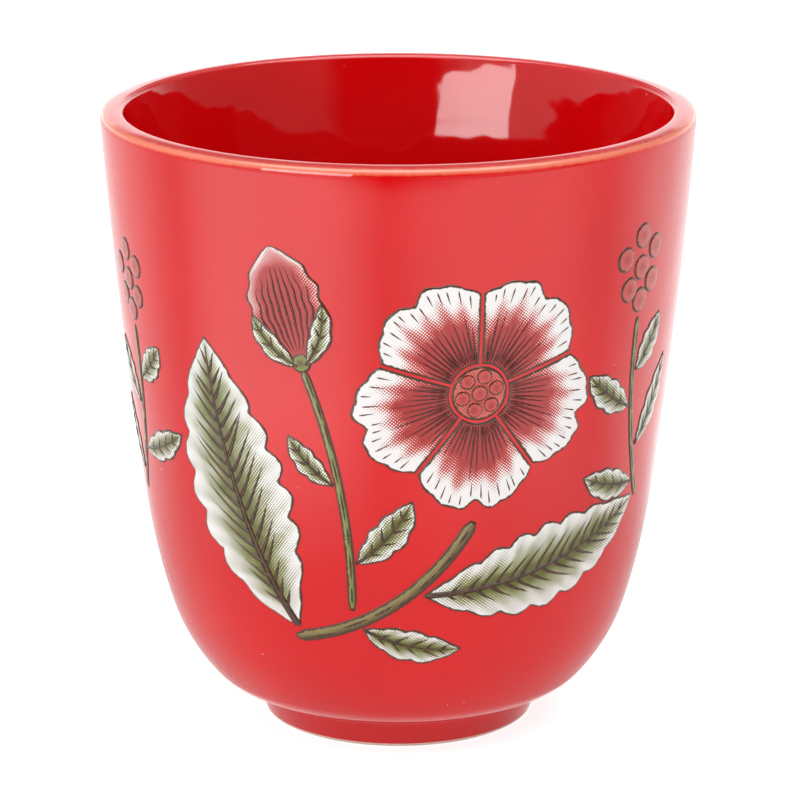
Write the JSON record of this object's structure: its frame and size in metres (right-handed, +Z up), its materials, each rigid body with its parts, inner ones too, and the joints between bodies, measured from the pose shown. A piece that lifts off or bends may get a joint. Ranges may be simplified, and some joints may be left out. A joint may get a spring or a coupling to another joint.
{
  "type": "handleless glazed cup",
  "caption": "Red glazed handleless cup with a rounded belly, a low foot ring and a raised enamel flower spray on its wall; holds a drink.",
  "frame": {"origin": "centre of the foot ring, on the surface that the cup stands on", "axes": "+Z up along the cup's axis, out of its mouth; -Y towards the front with the blossom; +X to the right seen from the front"},
  "size_m": [0.085, 0.085, 0.09],
  "materials": {
    "red_glaze": "glossy",
    "petal_enamel": "glossy",
    "berry_enamel": "glossy",
    "leaf_enamel": "glossy",
    "stem_enamel": "glossy"
  },
  "bodies": {
    "root": {"cup_body": "red_glaze", "blossom_heart": "berry_enamel", "blossom_petal_1": "petal_enamel", "blossom_petal_2": "petal_enamel", "blossom_petal_3": "petal_enamel", "blossom_petal_4": "petal_enamel", "blossom_petal_5": "petal_enamel", "bud": "petal_enamel", "bud_stem": "stem_enamel", "main_stem": "stem_enamel", "left_leaf": "leaf_enamel", "right_leaf": "leaf_enamel"}
  },
  "joints": []
}
